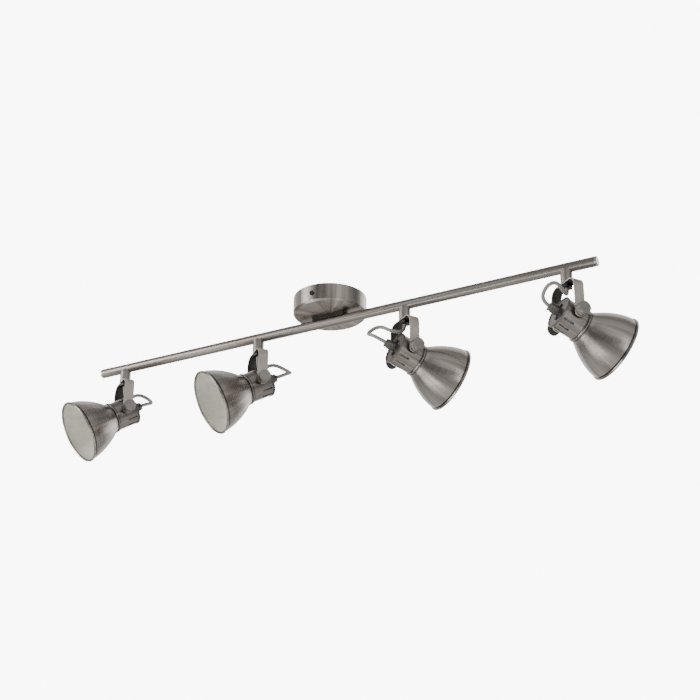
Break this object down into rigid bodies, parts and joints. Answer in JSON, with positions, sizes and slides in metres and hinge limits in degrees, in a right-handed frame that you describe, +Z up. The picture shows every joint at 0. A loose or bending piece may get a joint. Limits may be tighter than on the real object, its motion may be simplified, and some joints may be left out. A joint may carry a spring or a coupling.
{
  "type": "track lighting fixture",
  "caption": "Ceiling spotlight bar: round canopy, straight tube rail, and bell-shade heads that swivel on stems and tilt in yokes held by thumb screws.",
  "frame": {"origin": "centre of the ceiling face of the canopy's bracket", "axes": "+X along the rail, +Z up into the ceiling, -Y towards the side with the visible lock screw"},
  "size_m": [0.809, 0.1634, 0.1769],
  "materials": {
    "nickel": "antique brushed nickel",
    "bright_nickel": "bright brushed",
    "cast_nickel": "slightly grained, nickel plated",
    "dark_screw": "dark plated",
    "zinc": "zinc plated",
    "black": "satin black",
    "terminal": "natural",
    "ceramic": "glazed ceramic",
    "cable": "matt grey-beige jacket"
  },
  "bodies": {
    "fixture": {"canopy": "nickel", "rail": "nickel", "spacer": "nickel", "ceiling_bracket": "zinc", "canopy_screws": "dark_screw", "terminal_block": "terminal", "rail_cap_left": "bright_nickel", "rail_cap_right": "bright_nickel", "stem_1": "nickel", "stem_2": "nickel", "stem_3": "nickel", "stem_4": "nickel"},
    "yoke_1": {"yoke_1": "nickel", "swivel_bolt_1": "dark_screw", "cable_1": "cable"},
    "head_1": {"neck_1": "nickel", "rear_cap_1": "cast_nickel", "gland_1": "cast_nickel", "small_screws_1": "dark_screw", "lampholder_1": "ceramic", "shade_1": "nickel"},
    "thumb_left_1": {"thumb_screw_left_1": "nickel"},
    "thumb_right_1": {"thumb_screw_right_1": "black"},
    "yoke_2": {"yoke_2": "nickel", "swivel_bolt_2": "dark_screw", "cable_2": "cable"},
    "head_2": {"neck_2": "nickel", "rear_cap_2": "cast_nickel", "gland_2": "cast_nickel", "small_screws_2": "dark_screw", "lampholder_2": "ceramic", "shade_2": "nickel"},
    "thumb_left_2": {"thumb_screw_left_2": "nickel"},
    "thumb_right_2": {"thumb_screw_right_2": "black"},
    "yoke_3": {"yoke_3": "nickel", "swivel_bolt_3": "dark_screw", "cable_3": "cable"},
    "head_3": {"neck_3": "nickel", "rear_cap_3": "cast_nickel", "gland_3": "cast_nickel", "small_screws_3": "dark_screw", "lampholder_3": "ceramic", "shade_3": "nickel"},
    "thumb_left_3": {"thumb_screw_left_3": "black"},
    "thumb_right_3": {"thumb_screw_right_3": "nickel"},
    "yoke_4": {"yoke_4": "nickel", "swivel_bolt_4": "dark_screw", "cable_4": "cable"},
    "head_4": {"neck_4": "nickel", "rear_cap_4": "cast_nickel", "gland_4": "cast_nickel", "small_screws_4": "dark_screw", "lampholder_4": "ceramic", "shade_4": "nickel"},
    "thumb_left_4": {"thumb_screw_left_4": "black"},
    "thumb_right_4": {"thumb_screw_right_4": "nickel"}
  },
  "joints": [
    {"name": "swivel_1", "type": "hinge", "parent": "fixture", "child": "yoke_1", "pos_m": [-0.33, 0, -0.0554], "axis": [0, 0, 1], "range_deg": [-170, 170]},
    {"name": "tilt_1", "type": "hinge", "parent": "yoke_1", "child": "head_1", "pos_m": [-0.33, 0, -0.1019], "axis": [0.8028, -0.5962, 0], "range_deg": [-32.4, 57.6], "deforming": ["cable_1"]},
    {"name": "thumb_left_1", "type": "hinge", "parent": "yoke_1", "child": "thumb_left_1", "pos_m": [-0.33, 0, -0.1019], "axis": [0.8028, -0.5962, 0], "range_deg": [0, 90]},
    {"name": "thumb_right_1", "type": "hinge", "parent": "yoke_1", "child": "thumb_right_1", "pos_m": [-0.33, 0, -0.1019], "axis": [-0.8028, 0.5962, 0], "range_deg": [0, 90]},
    {"name": "swivel_2", "type": "hinge", "parent": "fixture", "child": "yoke_2", "pos_m": [-0.11, 0, -0.0554], "axis": [0, 0, 1], "range_deg": [-170, 170]},
    {"name": "tilt_2", "type": "hinge", "parent": "yoke_2", "child": "head_2", "pos_m": [-0.11, 0, -0.1019], "axis": [0.7559, -0.6547, 0], "range_deg": [-29.4, 60.6], "deforming": ["cable_2"]},
    {"name": "thumb_left_2", "type": "hinge", "parent": "yoke_2", "child": "thumb_left_2", "pos_m": [-0.11, 0, -0.1019], "axis": [0.7559, -0.6547, 0], "range_deg": [0, 90]},
    {"name": "thumb_right_2", "type": "hinge", "parent": "yoke_2", "child": "thumb_right_2", "pos_m": [-0.11, 0, -0.1019], "axis": [-0.7559, 0.6547, 0], "range_deg": [0, 90]},
    {"name": "swivel_3", "type": "hinge", "parent": "fixture", "child": "yoke_3", "pos_m": [0.11, 0, -0.0554], "axis": [0, 0, 1], "range_deg": [-170, 170]},
    {"name": "tilt_3", "type": "hinge", "parent": "yoke_3", "child": "head_3", "pos_m": [0.11, 0, -0.1019], "axis": [-0.829, 0.5592, 0], "range_deg": [-18.8, 71.2], "deforming": ["cable_3"]},
    {"name": "thumb_left_3", "type": "hinge", "parent": "yoke_3", "child": "thumb_left_3", "pos_m": [0.11, 0, -0.1019], "axis": [-0.829, 0.5592, 0], "range_deg": [0, 90]},
    {"name": "thumb_right_3", "type": "hinge", "parent": "yoke_3", "child": "thumb_right_3", "pos_m": [0.11, 0, -0.1019], "axis": [0.829, -0.5592, 0], "range_deg": [0, 90]},
    {"name": "swivel_4", "type": "hinge", "parent": "fixture", "child": "yoke_4", "pos_m": [0.33, 0, -0.0554], "axis": [0, 0, 1], "range_deg": [-170, 170]},
    {"name": "tilt_4", "type": "hinge", "parent": "yoke_4", "child": "head_4", "pos_m": [0.33, 0, -0.1019], "axis": [-0.8039, 0.5948, 0], "range_deg": [-22.9, 67.1], "deforming": ["cable_4"]},
    {"name": "thumb_left_4", "type": "hinge", "parent": "yoke_4", "child": "thumb_left_4", "pos_m": [0.33, 0, -0.1019], "axis": [-0.8039, 0.5948, 0], "range_deg": [0, 90]},
    {"name": "thumb_right_4", "type": "hinge", "parent": "yoke_4", "child": "thumb_right_4", "pos_m": [0.33, 0, -0.1019], "axis": [0.8039, -0.5948, 0], "range_deg": [0, 90]}
  ]
}
